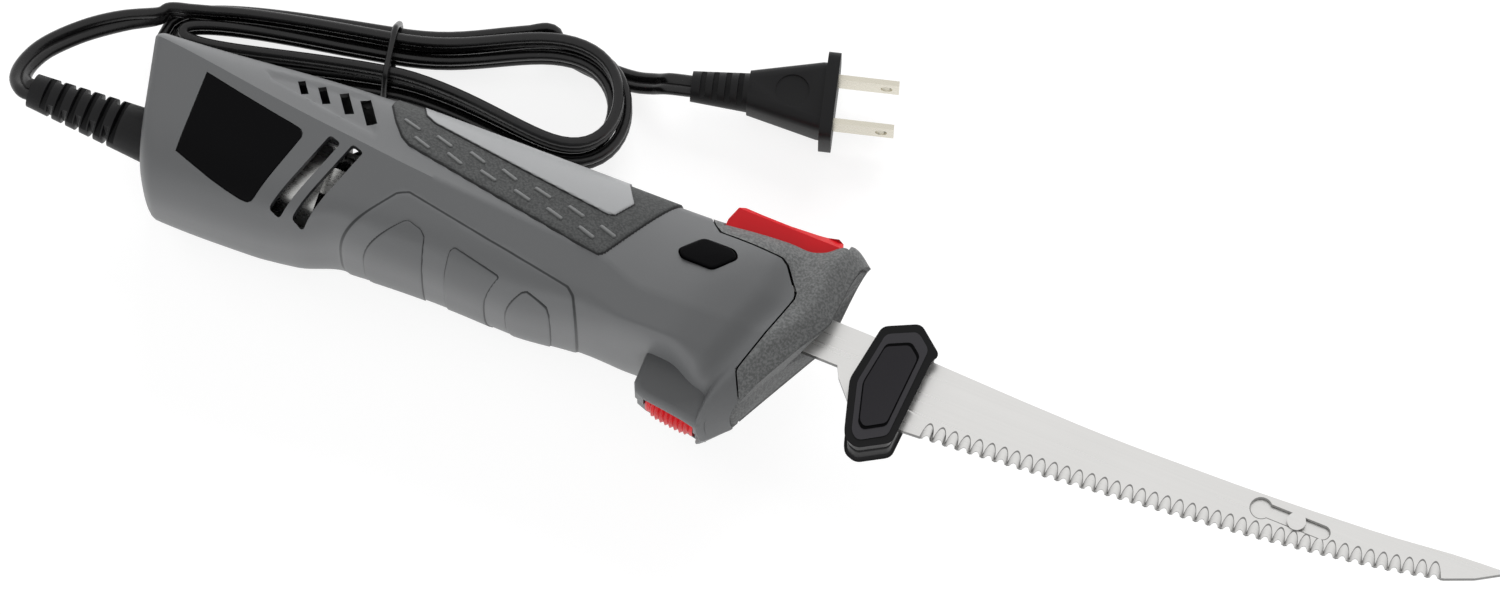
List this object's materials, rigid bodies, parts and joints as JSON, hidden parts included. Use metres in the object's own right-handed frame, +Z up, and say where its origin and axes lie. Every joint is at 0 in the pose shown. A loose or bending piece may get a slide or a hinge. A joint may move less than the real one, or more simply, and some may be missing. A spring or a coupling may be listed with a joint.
{
  "type": "electric fillet knife",
  "caption": "Corded electric fillet knife: straight vented handle with a soft grip, reciprocating serrated blades, thumb paddle, lock button, blade release and a tied cord.",
  "frame": {"origin": "under the middle of the knife's box, cord left out, on the table that it lies on", "axes": "+X from the cord end to the blade's tip, +Y towards the spine, +Z up from the side it lies on"},
  "size_m": [0.4242, 0.1202, 0.044],
  "materials": {
    "shell_plastic": "fine matte moulding",
    "pad_rubber": "soft, fine texture",
    "black_plastic": "satin",
    "label_black": "smooth",
    "hub_plastic": "matte",
    "red_plastic": "satin",
    "blade_steel": "fine satin",
    "steel": "plain",
    "cord_rubber": "smooth",
    "copper": "enamelled wire",
    "brass": "plain",
    "nylon": "moulded",
    "carbon": "pressed",
    "board": "lacquered"
  },
  "bodies": {
    "handle": {"left_shell": "shell_plastic", "right_shell": "shell_plastic", "front_collar": "pad_rubber", "grip_pad": "pad_rubber", "grip_insert": "shell_plastic", "left_side_pads": "shell_plastic", "right_side_pads": "shell_plastic", "left_label_plate": "label_black", "right_label_plate": "label_black", "mouth_seal": "black_plastic", "paddle_pin": "steel", "paddle_spring": "steel", "power_switch": "black_plastic", "lock_spring": "steel", "release_spring": "steel", "motor_can": "steel", "motor_endcap": "black_plastic", "motor_magnets": "carbon", "brushes": "carbon", "rear_bearing": "brass", "front_bearing": "brass", "wheel_axle": "steel", "gear_frame": "steel", "control_board": "board", "board_parts": "copper", "cord_clamp": "black_plastic", "case_screws": "steel", "strain_relief": "cord_rubber", "cord_lead": "cord_rubber", "cord_hank": "cord_rubber", "cord_tail": "cord_rubber", "cord_tie": "cord_rubber", "plug_body": "cord_rubber", "plug_prongs": "brass"},
    "rotor": {"armature": "copper", "commutator": "copper", "motor_shaft": "steel", "cooling_fan": "black_plastic", "worm": "steel"},
    "wheel": {"worm_wheel": "nylon"},
    "left_drive": {"left_yoke": "nylon", "left_blade": "blade_steel", "left_hub": "hub_plastic"},
    "right_drive": {"right_yoke": "nylon", "right_blade": "blade_steel", "right_hub": "hub_plastic", "blade_rivet": "blade_steel"},
    "paddle": {"power_paddle": "red_plastic"},
    "plunger": {"switch_plunger": "nylon"},
    "lock": {"lock_button": "black_plastic"},
    "release": {"blade_release": "red_plastic"}
  },
  "joints": [
    {"name": "rotor_spin", "type": "hinge", "parent": "handle", "child": "rotor", "pos_m": [-0.14102, -0.00805, 0.022], "axis": [1, 0, 0], "continuous": true},
    {"name": "wheel_spin", "type": "hinge", "parent": "handle", "child": "wheel", "pos_m": [-0.09402, 0.00645, 0.022], "axis": [0, 0, 1], "continuous": true},
    {"name": "left_blade_slide", "type": "slide", "parent": "handle", "child": "left_drive", "axis": [1, 0, 0], "range_m": [-0.003, 0.003]},
    {"name": "right_blade_slide", "type": "slide", "parent": "handle", "child": "right_drive", "axis": [1, 0, 0], "range_m": [-0.003, 0.003]},
    {"name": "paddle_press", "type": "hinge", "parent": "handle", "child": "paddle", "pos_m": [-0.01722, 0.01785, 0.022], "axis": [0, 0, -1], "range_deg": [0, 6], "stiffness_Nm_per_rad": 0.5, "springref_deg": -11.46, "deforming": ["paddle_spring"]},
    {"name": "switch_press", "type": "slide", "parent": "handle", "child": "plunger", "axis": [0, -1, 0], "range_m": [0, 0.0014]},
    {"name": "lock_press", "type": "slide", "parent": "handle", "child": "lock", "axis": [0, 0, -1], "range_m": [0, 0.002], "stiffness_N_per_m": 500, "springref_m": -0.002, "deforming": ["lock_spring"]},
    {"name": "release_press", "type": "slide", "parent": "handle", "child": "release", "axis": [0, 1, 0], "range_m": [0, 0.003], "stiffness_N_per_m": 500, "springref_m": -0.003, "deforming": ["release_spring"]}
  ],
  "couplings": [
    {"joint": "wheel_spin", "follows": "rotor_spin", "ratio": 0.066667},
    {"joint": "left_blade_slide", "follows": "right_blade_slide", "ratio": -1},
    {"joint": "switch_press", "follows": "paddle_press", "m_per_rad": 0.0124}
  ]
}
